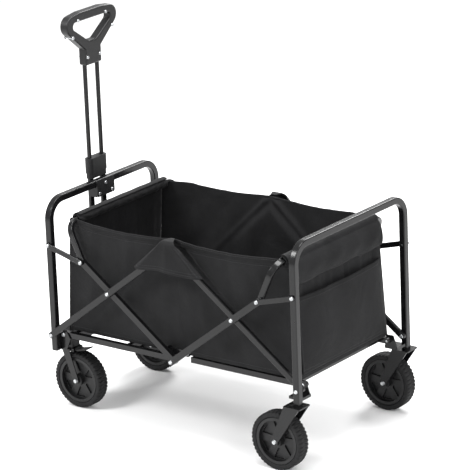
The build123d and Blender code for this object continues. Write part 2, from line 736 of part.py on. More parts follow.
with BuildPart() as grip_rear_shell:
    with BuildSketch(Plane(origin=(handle_x, 0, 0), x_dir=(0, 1, 0), z_dir=(1, 0, 0))):
        add(rounded_hull(((84, 128, 30), (48, 131, 32), (16, 76, 34))))
        with Locations((0, (grip_bottom + grip_neck) / 2)):
            RectangleRounded(72, grip_neck - grip_bottom, 5)
        add(rounded_hull(((72, 125, 12), (12, 86, 14))), mode=Mode.SUBTRACT)
    extrude(amount=grip_t / 2)
    fillet(grip_rear_shell.faces().sort_by(Axis.X)[-1].edges(), 5)
    with Locations(*[(handle_x, side * handle_half, (grip_bottom + grip_neck) / 2) for side in (-1, 1)]):
        Cylinder(upper_tube_r, grip_neck - grip_bottom, mode=Mode.SUBTRACT)
    for _, side in sides:
        for place_y, place_z in grip_screw_places:
            with Locations(Plane(origin=(handle_x, side * place_y, place_z), z_dir=(1, 0, 0))):
                Cylinder(grip_screw_r, 2 * grip_t, mode=Mode.SUBTRACT)
save(grip_rear_shell.part, "grip_rear_shell")
save(mirror(grip_rear_shell.part, about=Plane.YZ.offset(handle_x)), "grip_front_shell")

with BuildPart() as grip_screws:
    for _, side in sides:
        for place_y, place_z in grip_screw_places:
            with BuildSketch(Plane(origin=(handle_x - grip_t / 2, side * place_y, place_z), z_dir=(1, 0, 0))):
                Circle(grip_screw_r)
            extrude(amount=grip_t)
            for way in (-1, 1):
                face_x = handle_x + way * grip_t / 2
                with BuildSketch(Plane(origin=(face_x, side * place_y, place_z), z_dir=(way, 0, 0))):
                    Circle(5)
                extrude(amount=2, taper=25)
save(grip_screws.part, "grip_screws")

# ================= fabric =================
def end_panel(x_of, way):
    """A flat end panel of cloth that leans outwards towards the floor."""
    top_x, foot_x = x_of(panel_top_in), x_of(panel_foot_in)
    with BuildPart() as panel:
        with BuildSketch(Plane.XZ.offset(-panel_half)):
            with BuildLine():
                Polyline(
                    (top_x, rim_z), (foot_x, panel_foot_z),
                    (foot_x + way * cloth, panel_foot_z), (top_x + way * cloth, rim_z), close=True,
                )
            make_face()
        extrude(amount=2 * panel_half)
    return panel.part


save(end_panel(lambda inboard: front_x + inboard, -1), "front_panel")
save(end_panel(lambda inboard: rear_x - inboard, 1), "rear_panel")


def rear_face_x(height):
    """Where the rear panel's outer face stands at a height."""
    share = (rim_z - height) / (rim_z - panel_foot_z)
    return rear_x - panel_top_in + (panel_top_in - panel_foot_in) * share + cloth


wall = 2.0
with BuildPart() as rear_pocket:
    low_x, high_x = rear_face_x(pocket_foot_z) + 0.3, rear_face_x(pocket_top_z) + 0.3
    with BuildSketch(Plane.XZ.offset(-pocket_half)):
        with BuildLine():
            Polyline((low_x, pocket_foot_z), (low_x + pocket_depth, pocket_foot_z),
                     (high_x + pocket_depth, pocket_top_z), (high_x, pocket_top_z), close=True)
        make_face()
    extrude(amount=2 * pocket_half)
    with BuildSketch(Plane.XZ.offset(-pocket_half + wall)):
        with BuildLine():
            Polyline((low_x - wall, pocket_foot_z + wall), (low_x + pocket_depth - wall, pocket_foot_z + wall),
                     (high_x + pocket_depth - wall, pocket_top_z + 1), (high_x - wall, pocket_top_z + 1), close=True)
        make_face()
    extrude(amount=2 * (pocket_half - wall), mode=Mode.SUBTRACT)
save(rear_pocket.part, "rear_pocket")

side_lean = degrees(atan2(side_top_y - side_foot_y, side_top_z - panel_foot_z))
side_height = hypot(side_top_y - side_foot_y, side_top_z - panel_foot_z)
side_gap = 5.0
for name, side in sides:
    with BuildPart() as side_panel:
        plane = Plane(
            origin=(mid_x, side * side_foot_y, panel_foot_z), x_dir=(1, 0, 0),
            z_dir=(0, side * cos(radians(side_lean)), -sin(radians(side_lean))))
        top = half_base - rim_in - 26
        foot = half_base - panel_foot_in - side_gap
        with BuildSketch(plane):
            with BuildLine():
                Polyline((-foot, 0), (foot, 0), (top, -side * side_height), (-top, -side * side_height), close=True)
            make_face()
        extrude(amount=-floor_t)
    save(side_panel.part, f"side_panel_{name}")

with BuildPart() as centre_flaps:
    for _, side in sides:
        with BuildSketch(side_plane(flap_y, side, mid_x, 0)):
            with BuildLine():
                Polyline(*on_side(((-120, 528), (-20, side_top_z), (30, side_top_z), (140, 520), (10, 512)),
                                  side), close=True)
            make_face()
        extrude(amount=floor_t)
        with Locations((mid_x, side * (side_top_y + flap_y + 2 * floor_t) / 2, side_top_z + floor_t / 2)):
            Box(60, flap_y - side_top_y + 2 * floor_t, floor_t)
save(centre_flaps.part, "centre_flaps")

with BuildPart() as floor_sheet:
    with BuildSketch(Plane.XY.offset(floor_z)):
        with Locations((mid_x, 0)):
            Rectangle(2 * (half_base - panel_foot_in - side_gap), 2 * floor_half)
    extrude(amount=floor_t)
save(floor_sheet.part, "floor_sheet")
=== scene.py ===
"""Folding camp wagon: fabric basket, wheels, finishes and stage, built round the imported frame."""

import json
import math

import bpy
import numpy as np
from bpy.props import FloatProperty, FloatVectorProperty, IntProperty, PointerProperty
from bpy.types import Operator, Panel, PropertyGroup
from mathutils import Matrix, Vector


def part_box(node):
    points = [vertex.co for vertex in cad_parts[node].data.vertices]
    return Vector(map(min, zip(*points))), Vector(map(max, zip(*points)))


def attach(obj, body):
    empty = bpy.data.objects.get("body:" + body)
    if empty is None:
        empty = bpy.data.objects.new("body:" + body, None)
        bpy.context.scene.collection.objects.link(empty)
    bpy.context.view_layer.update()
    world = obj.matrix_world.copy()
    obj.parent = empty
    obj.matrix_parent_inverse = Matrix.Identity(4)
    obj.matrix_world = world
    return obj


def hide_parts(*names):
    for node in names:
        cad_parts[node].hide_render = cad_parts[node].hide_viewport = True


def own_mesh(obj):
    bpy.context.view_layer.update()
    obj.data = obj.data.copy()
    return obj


bl_info = {
    "name": "Folding Camp Wagon",
    "version": (1, 0, 0),
    "blender": (4, 5, 0),
    "location": "View3D > Sidebar > Wagon",
    "description": "Builds the fabric, wheels, finishes and stage of a folding camp wagon",
    "category": "Add Mesh",
}

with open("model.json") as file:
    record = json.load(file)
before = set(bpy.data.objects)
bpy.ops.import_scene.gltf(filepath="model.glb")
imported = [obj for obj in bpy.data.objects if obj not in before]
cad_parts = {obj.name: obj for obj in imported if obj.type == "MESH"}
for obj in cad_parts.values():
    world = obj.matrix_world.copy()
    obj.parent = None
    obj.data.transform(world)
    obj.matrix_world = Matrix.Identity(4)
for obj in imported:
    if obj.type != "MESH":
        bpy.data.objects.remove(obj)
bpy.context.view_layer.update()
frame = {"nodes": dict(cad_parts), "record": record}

MM = 0.001
FRONT_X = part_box("front_hoop")[0].x / MM + 10.0
REAR_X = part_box("rear_hoop")[0].x / MM + 10.0
MID_X = (FRONT_X + REAR_X) / 2
RIM_Z = (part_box("front_rim_sleeve")[0].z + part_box("front_rim_sleeve")[1].z) / 2 / MM
SIDE_HALF, SIDE_TAPER = 408.5, 63.0     # half a side's length at the floor, and what it loses by the hem
SIDE_FOOT_Y, SIDE_LEAN = 213.0, 22.5    # a side's foot from the middle, and how far it leans out
SIDE_FOOT_Z, SIDE_HEM_Z = 249.0, 598.0
END_FOOT_IN, END_LEAN = 28.0, 24.0      # an end's foot from the hoop, and how far it leans in
END_FOOT_Z, END_HEIGHT = 248.5, 341.5
PIVOT_X = MID_X + 4.0                   # the flaps' points, over the top pivots
FLAP_Z = 600.5
POCKET_FOOT_Z, POCKET_HEIGHT, POCKET_HALF = 262.0, 222.0, 205.0


# ---------------------------------------------------------------- sizes and colours

def linear(hex_colour):
    """An sRGB hex colour as linear red, green and blue."""
    values = [int(hex_colour[i:i + 2], 16) / 255 for i in (1, 3, 5)]
    return tuple(c / 12.92 if c <= 0.04045 else ((c + 0.055) / 1.055) ** 2.4 for c in values)


class WagonFabricSizes(PropertyGroup):
    """Sizes of the sewn basket."""

    cloth_thickness: FloatProperty(
        name="Cloth thickness", description="Coated polyester with its lining",
        default=0.0016, unit="LENGTH")
    side_sag: FloatProperty(
        name="Side sag", description="How far a side's top edge hangs between its corners",
        default=0.010, unit="LENGTH")
    fold_depth: FloatProperty(
        name="Fold depth", description="Depth of the soft folds in the hanging cloth",
        default=0.0044, unit="LENGTH")
    binding_width: FloatProperty(
        name="Binding width", description="Width of the tape sewn over a raw edge",
        default=0.020, unit="LENGTH")
    stitch_pitch: FloatProperty(
        name="Stitch pitch", description="From one stitch to the next, drawn coarser than sewn",
        default=0.0065, unit="LENGTH")
    pocket_bulge: FloatProperty(
        name="Pocket bulge", description="How far the rear pocket's middle stands out",
        default=0.006, unit="LENGTH")


class WagonWheelSizes(PropertyGroup):
    """Sizes of the tyre tread."""

    tread_blocks: IntProperty(
        name="Tread blocks", description="Blocks round each tyre", default=44, min=6)
    tread_depth: FloatProperty(
        name="Tread depth", description="Depth of the grooves", default=0.0026, unit="LENGTH")


class WagonColours(PropertyGroup):
    """Colours of the finishes."""

    coat: FloatVectorProperty(
        name="Powder coat", description="Black powder coat on the steel",
        default=linear("#0d0d0e"), subtype="COLOR", size=3)
    zinc: FloatVectorProperty(
        name="Zinc plate", description="Bright zinc plate on rivets and bolts",
        default=linear("#c4c6c8"), subtype="COLOR", size=3)
    cloth: FloatVectorProperty(
        name="Cloth", description="Black coated polyester",
        default=linear("#151516"), subtype="COLOR", size=3)
    thread: FloatVectorProperty(
        name="Thread", description="Black bonded sewing thread",
        default=linear("#1c1c1e"), subtype="COLOR", size=3)
    moulding: FloatVectorProperty(
        name="Mouldings", description="Black polypropylene and ABS",
        default=linear("#111112"), subtype="COLOR", size=3)
    tread: FloatVectorProperty(
        name="Tread", description="Black thermoplastic rubber",
        default=linear("#131314"), subtype="COLOR", size=3)
    floor: FloatVectorProperty(
        name="Studio floor", description="Pale floor under the wagon",
        default=linear("#f4f4f4"), subtype="COLOR", size=3)


# ---------------------------------------------------------------- mesh helpers

def put_mesh(name, points, faces, smooth=True):
    """A mesh object from points in millimetres and faces as rows of corner numbers."""
    mesh = bpy.data.meshes.new(name)
    flat = np.asarray(points, float).reshape(-1, 3) * MM
    faces = np.asarray(faces, np.int32)
    corners = faces.shape[1]
    mesh.vertices.add(len(flat))
    mesh.vertices.foreach_set("co", flat.ravel())
    mesh.loops.add(faces.size)
    mesh.loops.foreach_set("vertex_index", faces.ravel())
    mesh.polygons.add(len(faces))
    mesh.polygons.foreach_set("loop_start", np.arange(0, faces.size, corners, dtype=np.int32))
    mesh.polygons.foreach_set("use_smooth", np.full(len(faces), smooth))
    mesh.update(calc_edges=True)
    mesh.validate()
    obj = bpy.data.objects.new(name, mesh)
    bpy.context.scene.collection.objects.link(obj)
    return obj


def ease(t):
    """A smooth step: nought below 0, one above 1, and three squares less two cubes between."""
    t = np.clip(t, 0, 1)
    return t ** 2 * (3 - 2 * t)


def grid_faces(rows, columns, closed_rows=False, closed_columns=False):
    """Four-cornered faces of a grid of points, joined end to end where it is closed."""
    r = np.arange(rows if closed_rows else rows - 1)
    c = np.arange(columns if closed_columns else columns - 1)
    r, c = np.meshgrid(r, c, indexing="ij")
    r2, c2 = (r + 1) % rows, (c + 1) % columns
    return np.stack([r * columns + c, r2 * columns + c, r2 * columns + c2, r * columns + c2],
                    -1).reshape(-1, 4)


def put_grid(name, points, closed_rows=False, closed_columns=False, flip=False, uv_size=None):
    """A surface from a grid of points (rows, columns, 3), with a UV map in millimetres where a size is
    given."""
    rows, columns = points.shape[:2]
    faces = grid_faces(rows, columns, closed_rows, closed_columns)
    if flip:
        faces = faces[:, ::-1]
    obj = put_mesh(name, points, faces)
    if uv_size:
        u, v = np.meshgrid(np.linspace(0, uv_size[0], rows), np.linspace(0, uv_size[1], columns),
                           indexing="ij")
        spots = np.stack([u, v], -1).reshape(-1, 2)
        layer = obj.data.uv_layers.new(name="cloth")
        corner = np.zeros(len(obj.data.loops), np.int32)
        obj.data.loops.foreach_get("vertex_index", corner)
        layer.data.foreach_set("uv", spots[corner].ravel().astype(np.float32))
    return obj


def thicken(obj, thickness, offset=-1.0):
    """Gives a sheet its thickness."""
    solid = obj.modifiers.new("thickness", "SOLIDIFY")
    solid.thickness = thickness
    solid.offset = offset
    solid.use_rim = True
    return obj


def stitches(name, path, normals, pitch=6.5, length=4.2, half_width=0.55, height=0.5):
    """A row of thread stitches: a path cut at equal steps, and on each step one flat diamond-ended bead.

    Each bead is the ring of six points (ends, shoulders) about the step's middle, and the same ring
    raised."""
    path = np.asarray(path, float)
    normals = np.asarray(normals, float)
    steps = np.linalg.norm(np.diff(path, axis=0), axis=1)
    along = np.concatenate([[0], np.cumsum(steps)])
    count = max(2, int(along[-1] / pitch))
    at = (np.arange(count) + 0.5) * along[-1] / count
    middle = np.stack([np.interp(at, along, path[:, k]) for k in range(3)], 1)
    ahead = np.stack([np.interp(at + 0.5, along, path[:, k]) for k in range(3)], 1)
    behind = np.stack([np.interp(at - 0.5, along, path[:, k]) for k in range(3)], 1)
    run = ahead - behind
    run /= np.linalg.norm(run, axis=1, keepdims=True)
    out = np.stack([np.interp(at, along, normals[:, k]) for k in range(3)], 1)
    out /= np.linalg.norm(out, axis=1, keepdims=True)
    across = np.cross(out, run)
    ring = np.array([(-0.5, 0), (-0.3, -1), (0.3, -1), (0.5, 0), (0.3, 1), (-0.3, 1)])
    low = (middle[:, None] + run[:, None] * ring[None, :, :1] * length
           + across[:, None] * ring[None, :, 1:] * half_width)
    high = (middle[:, None] + run[:, None] * ring[None, :, :1] * length * 0.7
            + across[:, None] * ring[None, :, 1:] * half_width * 0.6 + out[:, None] * height)
    points = np.concatenate([low, high], 1).reshape(-1, 3)
    k = np.arange(6)
    side = np.stack([k, (k + 1) % 6, (k + 1) % 6 + 6, k + 6], 1)
    caps = np.array([(6, 7, 8, 9), (6, 9, 10, 11), (0, 3, 2, 1), (0, 5, 4, 3)])
    one = np.concatenate([side, caps])
    faces = (one[None] + (np.arange(count) * 12)[:, None, None]).reshape(-1, 4)
    return put_mesh(name, points, faces, smooth=False)


def ribbon(name, path, across, normals, width, height, columns=9):
    """A tape sewn flat along a path: a low arch of the given width and height, closed underneath."""
    path, across, normals = (np.asarray(a, float) for a in (path, across, normals))
    t = np.linspace(-1, 1, columns)
    arch = height * (1 - t ** 6)
    raised = normals[:, None] * arch[None, :, None]
    top = path[:, None] + across[:, None] * t[None, :, None] * width / 2 + raised
    under = path[:, None] + across[:, None] * t[None, ::-1, None] * width / 2 - normals[:, None] * 0.4
    loop = np.concatenate([top, under], 1)
    return put_grid(name, loop, closed_columns=True)


def settle(obj, body, crumples=False, stands_for=()):
    """Rides a finished piece on a body, gives a piece that crumples its own copy of its mesh, and hides the
    frame parts it stands for.
    """
    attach(obj, body)
    if crumples:
        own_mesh(obj)
    if stands_for:
        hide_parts(*stands_for)
    return obj


# ---------------------------------------------------------------- materials

def add_node(material, kind, settings=(), values=(), links=()):
    """Adds one node; settings are attributes, values fill sockets, and links join sockets to other
    nodes' outputs."""
    node = material.node_tree.nodes.new(kind)
    for key, value in dict(settings).items():
        setattr(node, key, value)
    for key, value in dict(values).items():
        node.inputs[key].default_value = value
    for key, source in dict(links).items():
        material.node_tree.links.new(source, node.inputs[key])
    return node


def new_material(name):
    """An empty node material, with its output node."""
    material = bpy.data.materials.new(name)
    material.use_nodes = True
    material.node_tree.nodes.clear()
    return material


def finish_material(material, shader):
    """Joins a shader to the material's output."""
    add_node(material, "ShaderNodeOutputMaterial", links={"Surface": shader.outputs["BSDF"]})
    return material


def tint(material, factor, dark, light, low=0.35, high=0.65):
    """A ramp between two colours, driven by a pattern."""
    ramp = add_node(material, "ShaderNodeValToRGB", links={"Fac": factor})
    ramp.color_ramp.elements[0].position = low
    ramp.color_ramp.elements[0].color = dark
    ramp.color_ramp.elements[1].position = high
    ramp.color_ramp.elements[1].color = light
    return ramp


def scaled(colour, k):
    """A linear colour made darker or lighter."""
    return (*[min(1.0, c * k) for c in colour[:3]], 1.0)


def powder_coated_steel(colour):
    """Steel tube, sprayed with polyester powder and baked: a satin skin with orange peel and a few
    rubbed spots."""
    m = new_material("powder_coated_steel_tube")
    place = add_node(m, "ShaderNodeTexCoord")
    at = {"Vector": place.outputs["Object"]}
    peel = add_node(m, "ShaderNodeTexNoise", values={"Scale": 420.0, "Detail": 2.0}, links=at)
    dust = add_node(m, "ShaderNodeTexNoise", values={"Scale": 34.0, "Detail": 6.0, "Roughness": 0.62},
                    links=at)
    base = tuple(colour)
    shade = tint(m, dust.outputs["Fac"], scaled(base, 0.78), scaled(base, 1.45), 0.38, 0.72)
    gloss = add_node(m, "ShaderNodeMapRange",
                     values={"From Min": 0.3, "From Max": 0.75, "To Min": 0.16, "To Max": 0.30},
                     links={"Value": dust.outputs["Fac"]})
    bump = add_node(m, "ShaderNodeBump", values={"Strength": 0.14, "Distance": 0.0006},
                    links={"Height": peel.outputs["Fac"]})
    return finish_material(m, add_node(
        m, "ShaderNodeBsdfPrincipled",
        values={"IOR": 1.52, "Specular IOR Level": 0.22, "Coat Weight": 0.16, "Coat Roughness": 0.1},
        links={"Base Color": shade.outputs["Color"], "Roughness": gloss.outputs["Result"],
               "Normal": bump.outputs["Normal"]}))


def zinc_plated_steel(colour):
    """Rivets and bolts: cold-headed steel, bright zinc plate gone slightly dull, with fine turning
    marks."""
    m = new_material("zinc_plated_rivet_steel")
    place = add_node(m, "ShaderNodeTexCoord")
    at = {"Vector": place.outputs["Object"]}
    dull = add_node(m, "ShaderNodeTexNoise", values={"Scale": 160.0, "Detail": 5.0}, links=at)
    base = tuple(colour)
    shade = tint(m, dull.outputs["Fac"], scaled(base, 0.6), scaled(base, 1.0), 0.3, 0.7)
    gloss = add_node(m, "ShaderNodeMapRange", values={"To Min": 0.22, "To Max": 0.46},
                     links={"Value": dull.outputs["Fac"]})
    bump = add_node(m, "ShaderNodeBump", values={"Strength": 0.2, "Distance": 0.0003},
                    links={"Height": dull.outputs["Fac"]})
    return finish_material(m, add_node(
        m, "ShaderNodeBsdfPrincipled", values={"Metallic": 1.0},
        links={"Base Color": shade.outputs["Color"], "Roughness": gloss.outputs["Result"],
               "Normal": bump.outputs["Normal"]}))


def moulded_plastic(name, colour, grain_mm, rough, bump_height):
    """Injection-moulded polypropylene or ABS: an even spark-eroded grain, with faint flow clouds and
    handling marks."""
    m = new_material(name)
    place = add_node(m, "ShaderNodeTexCoord")
    at = {"Vector": place.outputs["Object"]}
    grain = add_node(m, "ShaderNodeTexVoronoi", values={"Scale": 1000.0 / grain_mm}, links=at)
    cloud = add_node(m, "ShaderNodeTexNoise", values={"Scale": 26.0, "Detail": 4.0}, links=at)
    base = tuple(colour)
    shade = tint(m, cloud.outputs["Fac"], scaled(base, 0.82), scaled(base, 1.28), 0.32, 0.7)
    gloss = add_node(m, "ShaderNodeMapRange", values={"To Min": rough - 0.07, "To Max": rough + 0.09},
                     links={"Value": cloud.outputs["Fac"]})
    bump = add_node(m, "ShaderNodeBump", values={"Strength": 0.35, "Distance": bump_height * MM},
                    links={"Height": grain.outputs["Distance"]})
    return finish_material(m, add_node(
        m, "ShaderNodeBsdfPrincipled", values={"IOR": 1.49, "Specular IOR Level": 0.35},
        links={"Base Color": shade.outputs["Color"], "Roughness": gloss.outputs["Result"],
               "Normal": bump.outputs["Normal"]}))


def tread_rubber(colour):
    """Thermoplastic rubber tread: matt, with mould pitting and pale scuffs where it has touched the
    ground."""
    m = new_material("moulded_tread_rubber")
    place = add_node(m, "ShaderNodeTexCoord")
    at = {"Vector": place.outputs["Object"]}
    pits = add_node(m, "ShaderNodeTexNoise", values={"Scale": 700.0, "Detail": 3.0}, links=at)
    scuff = add_node(m, "ShaderNodeTexNoise", values={"Scale": 60.0, "Detail": 7.0, "Roughness": 0.7},
                     links=at)
    base = tuple(colour)
    shade = tint(m, scuff.outputs["Fac"], scaled(base, 0.75), scaled(base, 1.7), 0.4, 0.74)
    bump = add_node(m, "ShaderNodeBump", values={"Strength": 0.3, "Distance": 0.0005},
                    links={"Height": pits.outputs["Fac"]})
    return finish_material(m, add_node(
        m, "ShaderNodeBsdfPrincipled", values={"Roughness": 0.7, "IOR": 1.5, "Specular IOR Level": 0.25},
        links={"Base Color": shade.outputs["Color"], "Normal": bump.outputs["Normal"]}))


def woven_polyester(name, colour, thread_mm, lift=1.0):
    """600-denier polyester, plain woven and coated on the back: a basket grain of crossed threads with a
    dull sheen.

    The weave is two bands of waves at right angles on the piece's UV map, which is in millimetres;
    threads are
    drawn at three times their real 0.5 mm so that they show."""
    m = new_material(name)
    flat = add_node(m, "ShaderNodeUVMap", settings={"uv_map": "cloth"})
    solid = add_node(m, "ShaderNodeTexCoord")
    at = {"Vector": solid.outputs["Object"]}
    turns = 1.0 / thread_mm / 20.0 * 2 * math.pi
    warp = add_node(m, "ShaderNodeTexWave", settings={"bands_direction": "X"},
                    values={"Scale": turns, "Distortion": 0.6, "Detail": 1.0},
                    links={"Vector": flat.outputs["UV"]})
    weft = add_node(m, "ShaderNodeTexWave", settings={"bands_direction": "Y"},
                    values={"Scale": turns, "Distortion": 0.6, "Detail": 1.0},
                    links={"Vector": flat.outputs["UV"]})
    weave = add_node(m, "ShaderNodeMath", settings={"operation": "MULTIPLY"},
                     links={0: warp.outputs["Fac"], 1: weft.outputs["Fac"]})
    slub = add_node(m, "ShaderNodeTexNoise", values={"Scale": 9.0, "Detail": 6.0, "Roughness": 0.6},
                    links=at)
    mottle = add_node(m, "ShaderNodeMath", settings={"operation": "MULTIPLY_ADD"}, values={1: 0.35},
                      links={0: weave.outputs["Value"], 2: slub.outputs["Fac"]})
    base = tuple(colour)
    shade = tint(m, mottle.outputs["Value"], scaled(base, 0.72 * lift), scaled(base, 1.5 * lift), 0.35,
                 0.85)
    crease = add_node(m, "ShaderNodeTexNoise", values={"Scale": 9.0, "Detail": 4.0, "Distortion": 0.8},
                      links=at)
    soft = add_node(m, "ShaderNodeBump", values={"Strength": 0.45, "Distance": 0.012},
                    links={"Height": crease.outputs["Fac"]})
    bump = add_node(m, "ShaderNodeBump", values={"Strength": 0.35, "Distance": 0.0006},
                    links={"Height": weave.outputs["Value"], "Normal": soft.outputs["Normal"]})
    return finish_material(m, add_node(
        m, "ShaderNodeBsdfPrincipled",
        values={"Roughness": 0.78, "IOR": 1.45, "Specular IOR Level": 0.2, "Sheen Weight": 0.03,
                "Sheen Roughness": 0.4},
        links={"Base Color": shade.outputs["Color"], "Normal": bump.outputs["Normal"]}))


def sewing_thread(colour):
    """Bonded polyester thread, twisted and waxed."""
    m = new_material("bonded_sewing_thread")
    place = add_node(m, "ShaderNodeTexCoord")
    at = {"Vector": place.outputs["Object"]}
    twist = add_node(m, "ShaderNodeTexWave", values={"Scale": 300.0}, links=at)
    shade = tint(m, twist.outputs["Fac"], scaled(colour, 0.7), scaled(colour, 1.2), 0.2, 0.8)
    return finish_material(m, add_node(
        m, "ShaderNodeBsdfPrincipled", values={"Roughness": 0.5},
        links={"Base Color": shade.outputs["Color"]}))


def studio_floor(colour):
    """Painted studio floor, very slightly uneven."""
    m = new_material("pale_studio_paint")
    place = add_node(m, "ShaderNodeTexCoord")
    at = {"Vector": place.outputs["Object"]}
    drift = add_node(m, "ShaderNodeTexNoise", values={"Scale": 1.5, "Detail": 3.0}, links=at)
    shade = tint(m, drift.outputs["Fac"], scaled(colour, 0.985), scaled(colour, 1.0), 0.3, 0.7)
    return finish_material(m, add_node(
        m, "ShaderNodeBsdfPrincipled", values={"Roughness": 0.85},
        links={"Base Color": shade.outputs["Color"]}))


def material_named(name):
    """A material made earlier by the finishes operator."""
    return bpy.data.materials[name]


def paint(obj, name):
    """Gives a piece one material."""
    obj.data.materials.clear()
    obj.data.materials.append(material_named(name))
    return obj


SLOT_MATERIAL = {
    "powder_coat": "powder_coated_steel_tube",
    "zinc_steel": "zinc_plated_rivet_steel",
    "black_plastic": "moulded_polypropylene",
    "grip_plastic": "moulded_grip_abs",
    "wheel_plastic": "moulded_wheel_polypropylene",
    "tyre_rubber": "moulded_tread_rubber",
    "polyester": "woven_polyester_cloth",
    "webbing": "woven_polyester_webbing",
}


class WAGON_OT_finishes(Operator):
    """Makes every material and gives each carried-over metal and plastic piece its own"""

    bl_idname = "wagon.finishes"
    bl_label = "Finishes"

    def execute(self, context):
        colours = context.scene.wagon_colours
        powder_coated_steel(colours.coat)
        zinc_plated_steel(colours.zinc)
        moulded_plastic("moulded_polypropylene", colours.moulding, 1.1, 0.48, 0.25)
        moulded_plastic("moulded_grip_abs", colours.moulding, 0.9, 0.42, 0.2)
        moulded_plastic("moulded_wheel_polypropylene", colours.moulding, 1.6, 0.44, 0.3)
        tread_rubber(colours.tread)
        woven_polyester("woven_polyester_cloth", colours.cloth, 1.5)
        woven_polyester("woven_polyester_binding", colours.cloth, 1.2, 0.8)
        woven_polyester("woven_polyester_webbing", colours.cloth, 1.0, 0.7)
        sewing_thread(colours.thread)
        studio_floor(colours.floor)
        for part in frame["record"]["subparts"]:
            paint(frame["nodes"][part["node"]], SLOT_MATERIAL[part["material_slot"]])
        return {"FINISHED"}


# ---------------------------------------------------------------- basket

def wave(t, *terms):
    """Sum of sines: each term is how many waves, how high and where it starts."""
    return sum(high * np.sin(2 * np.pi * (count * t + start)) for count, high, start in terms)


def side_points(side, u, v, sag, depth):
    """A side of the basket at u along it (0 front, 1 rear) and v up it (0 floor, 1 hem), in millimetres.

    The outline is a trapezium, narrower at the hem. The cloth leans out from floor to hem, hangs a little
    between its corners at the hem, bellies outwards low down, and carries soft folds that run from the
    hem's
    corners down to the middle. Under the top pivot the braces press it inwards: a soft ridge runs down
    along
    each of them, and the cloth between the two ridges stands in like a tent that dies out downwards."""
    corner = ease((np.abs(2 * u - 1) - 0.82) / 0.18)
    half = SIDE_HALF - SIDE_TAPER * v ** 0.9 + corner * (SIDE_TAPER * v ** 0.9 - 23 * v)
    x = MID_X + (2 * u - 1) * half
    top = SIDE_HEM_Z - sag * np.sin(np.pi * (2 * u % 1)) * v - 4 * corner
    z = SIDE_FOOT_Z + (top - SIDE_FOOT_Z) * v
    lean = SIDE_FOOT_Y + SIDE_LEAN * v
    belly = 2.6 * np.sin(np.pi * v) * np.sin(np.pi * u)
    pull = np.abs(2 * u - 1)
    fan = np.sin(2 * np.pi * (3.2 * (pull + 0.55 * v) + 0.15 * np.sin(7 * u))) * v * (1 - v) * 3.4
    hang = wave(u, (5, 0.45, 0.1), (11, 0.25, 0.4), (17, 0.18, 0.75)) * (0.35 + 0.65 * v)
    drop = np.maximum(0, 600 - z)
    inside = 1.05 * drop - np.abs(x - MID_X - 4)
    ridge = np.exp(-(inside / 13) ** 2) * np.exp(-drop / 190) * np.clip(drop / 20, 0, 1)
    tent = ease(inside / 50) * np.exp(-((drop - 70) / 95) ** 2)
    lean = lean - 9.0 * ridge - 14.0 * tent - 21 * corner * v
    y = lean + belly + depth * (0.55 * fan + 0.5 * hang) * np.sin(np.pi * np.clip(u * 12, 0, 0.5)) \
        * np.sin(np.pi * np.clip((1 - u) * 12, 0, 0.5))
    return np.stack([x, side * y, z], -1)


class WAGON_OT_basket_sides(Operator):
    """Sews the two long sides of the basket, with bound hems and a seam along the floor"""

    bl_idname = "wagon.basket_sides"
    bl_label = "Basket sides"

    def execute(self, context):
        sizes = context.scene.wagon_fabric
        sag, depth = sizes.side_sag / MM, sizes.fold_depth / MM
        u, v = np.meshgrid(np.linspace(0, 1, 221), np.linspace(0, 1, 81), indexing="ij")
        for name, side in (("left", -1), ("right", 1)):
            points = side_points(side, u, v, sag, depth)
            cloth = put_grid(f"basket_side_{name}", points, flip=side > 0, uv_size=(814, 346))
            thicken(cloth, sizes.cloth_thickness)
            paint(cloth, "woven_polyester_cloth")
            extras = []
            line = np.linspace(0, 1, 221)
            out = np.tile([0, side, 0.0], (221, 1))
            for label, height, lift in (("hem", 0.985, 1.4), ("hem_lower", 0.93, 0.5),
                                        ("base_seam", 0.035, 0.5)):
                row = side_points(side, line, np.full(221, height), sag, depth) + out * lift
                extras.append(stitches(f"side_{name}_{label}_stitches", row, out,
                                       sizes.stitch_pitch / MM))
            hem = side_points(side, line, np.full(221, 0.973), sag, depth)
            up = np.tile([0, 0.06 * side, 1.0], (221, 1))
            extras.append(ribbon(f"side_{name}_hem_tape", hem, up * side, out,
                                 sizes.binding_width / MM * 0.9, 1.1))
            for extra in extras:
                sewn = "stitches" in extra.name
                paint(extra, "bonded_sewing_thread" if sewn else "woven_polyester_binding")
            settle(cloth, "basket_middle", True, (f"side_panel_{name}",))
            for extra in extras:
                settle(extra, "basket_middle", True)
        return {"FINISHED"}


def end_points(hoop_x, way, s, v, depth):
    """An end panel at s across it (-1 left, 1 right) and v up it (0 floor, 1 rim), in millimetres.

    It leans inwards from floor to rim, and its cloth hangs in shallow upright folds that die out at the
    rim."""
    x = hoop_x + way * (END_FOOT_IN + END_LEAN * v)
    ripples = wave((s + 1) / 2, (4, 0.5, 0.2), (9, 0.35, 0.6), (15, 0.15, 0.1))
    slack = depth * ripples * np.sin(np.pi * v) ** 0.7 * (1 - np.abs(s) ** 8)
    belly = 5.0 * np.sin(np.pi * v) * np.cos(np.pi * s / 2)
    y = s * (214.2 + 1.5 * v)
    return np.stack([x - way * (belly * 0.35 + slack * 0.8), y, END_FOOT_Z + END_HEIGHT * v + 0 * s], -1)


